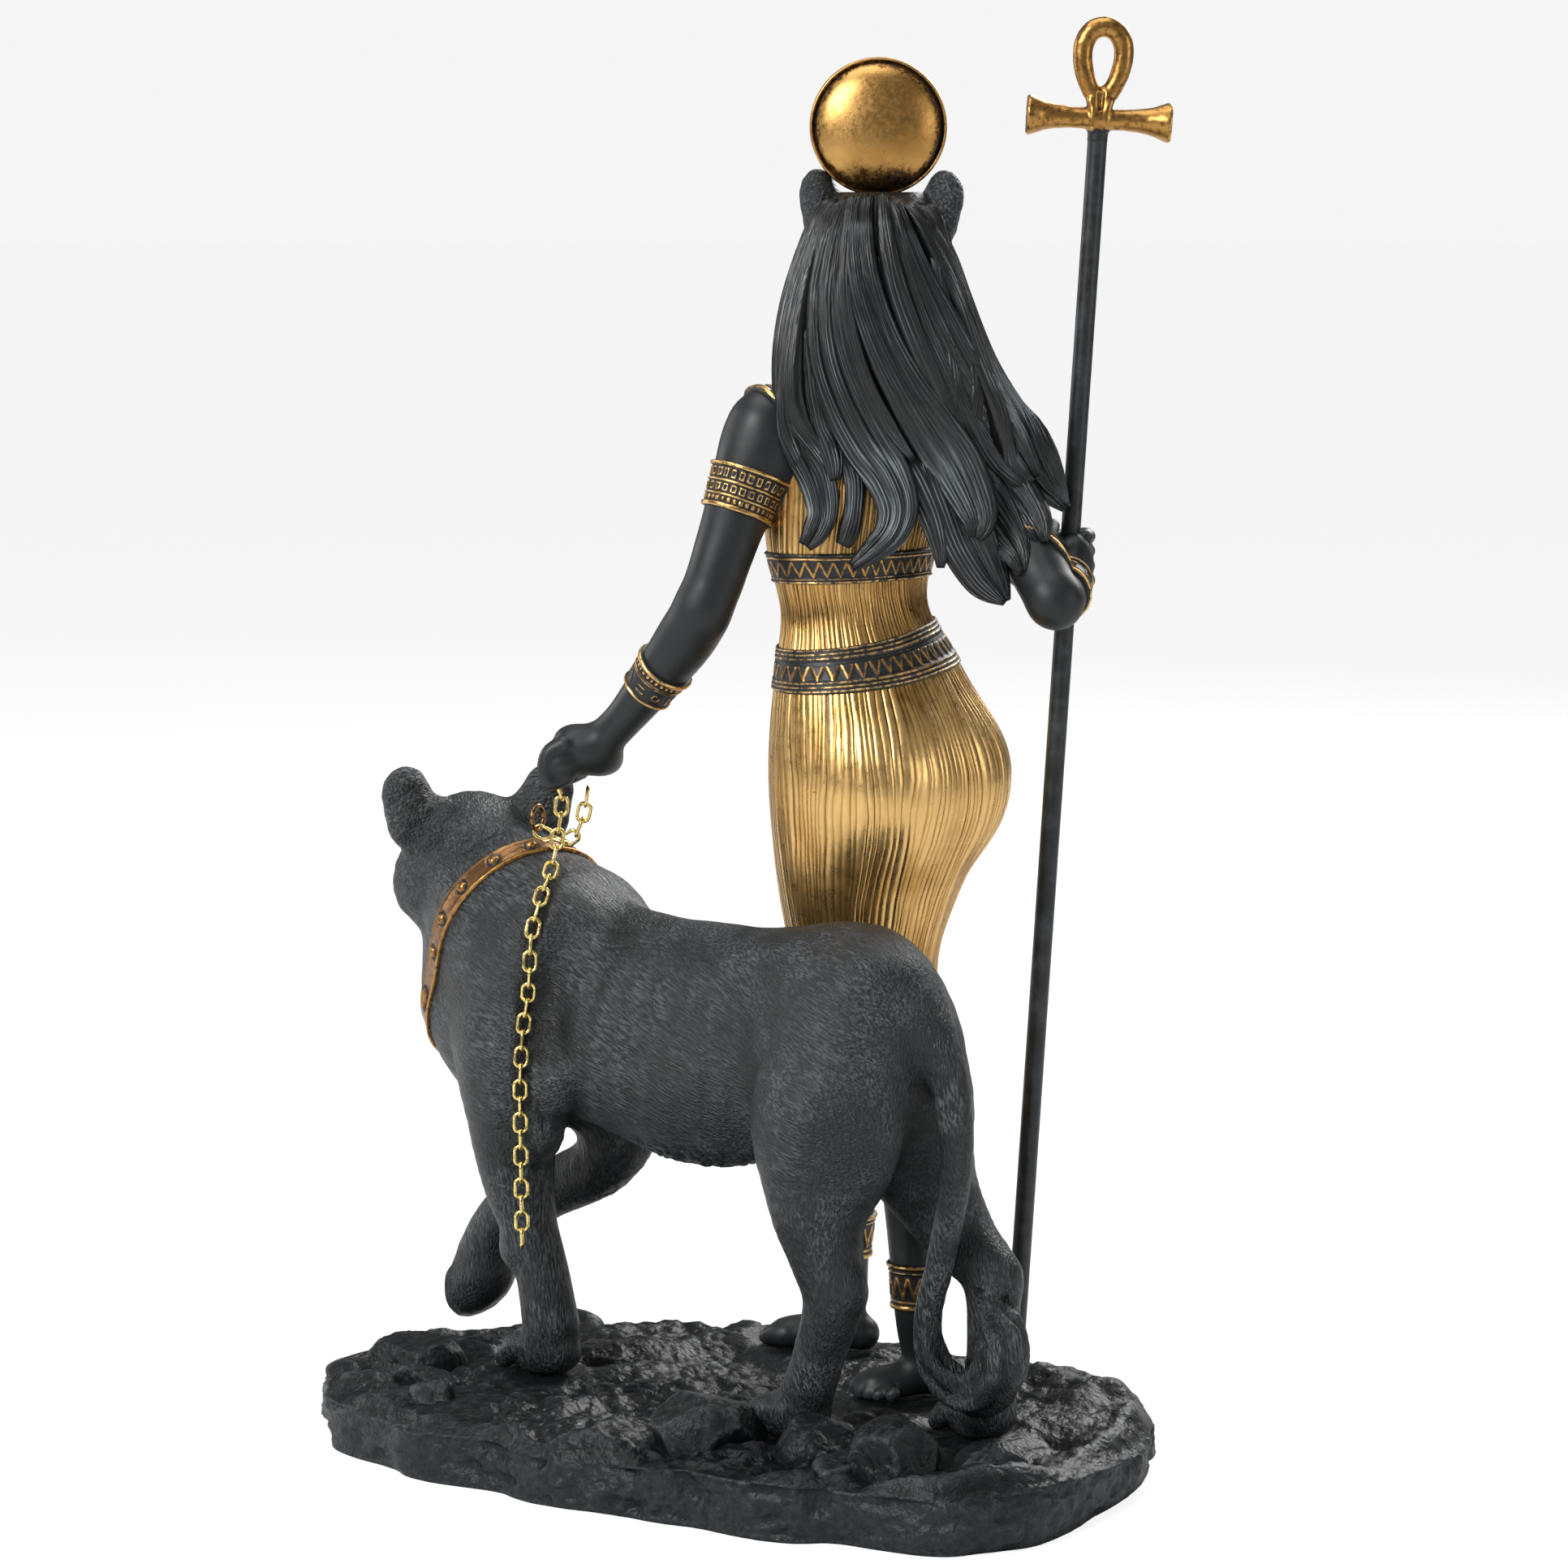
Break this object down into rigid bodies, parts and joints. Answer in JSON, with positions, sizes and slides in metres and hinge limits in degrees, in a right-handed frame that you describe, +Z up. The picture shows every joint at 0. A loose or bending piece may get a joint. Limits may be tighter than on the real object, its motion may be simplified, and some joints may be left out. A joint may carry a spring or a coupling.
{
  "type": "ancient egyptian goddess statuette",
  "caption": "Lion-headed goddess with a sun disc and ankh staff walking beside a collared lioness on a chain, cast resin on a rock base.",
  "frame": {"origin": "middle of the base's underside", "axes": "+Z up, +X the way the lioness walks, along the base's length, -Y the side the goddess stands on, which is the front"},
  "size_m": [0.1708, 0.1121, 0.2828],
  "materials": {
    "black_resin": "satin black cast resin with a blue-grey dry brush on the high places",
    "gilded_resin": "satin black cast resin, the dress, bands and disc painted antique gold",
    "staff_black": "satin black, the head painted antique gold",
    "gilt_metal": "bright yellow gilt wire"
  },
  "bodies": {
    "root": {"rock_base": "black_resin", "goddess": "gilded_resin", "lioness": "black_resin", "ankh_staff": "staff_black", "collar_ring": "gilt_metal", "chain_link_01": "gilt_metal", "chain_link_02": "gilt_metal", "chain_link_03": "gilt_metal", "chain_link_04": "gilt_metal", "chain_link_05": "gilt_metal", "chain_link_06": "gilt_metal", "chain_link_07": "gilt_metal", "chain_link_08": "gilt_metal", "chain_link_09": "gilt_metal", "chain_link_10": "gilt_metal", "chain_link_11": "gilt_metal", "chain_link_12": "gilt_metal", "chain_link_13": "gilt_metal", "chain_link_14": "gilt_metal", "chain_link_15": "gilt_metal", "chain_link_16": "gilt_metal", "chain_link_17": "gilt_metal", "chain_link_18": "gilt_metal", "chain_link_19": "gilt_metal", "chain_link_20": "gilt_metal", "chain_link_21": "gilt_metal", "chain_link_22": "gilt_metal", "chain_link_23": "gilt_metal", "chain_link_24": "gilt_metal", "chain_link_25": "gilt_metal", "chain_link_26": "gilt_metal", "chain_link_27": "gilt_metal", "chain_link_28": "gilt_metal", "chain_link_29": "gilt_metal", "lead_link_01": "gilt_metal", "lead_link_02": "gilt_metal", "lead_link_03": "gilt_metal", "lead_link_04": "gilt_metal", "lead_link_05": "gilt_metal", "lead_link_06": "gilt_metal"}
  },
  "joints": []
}
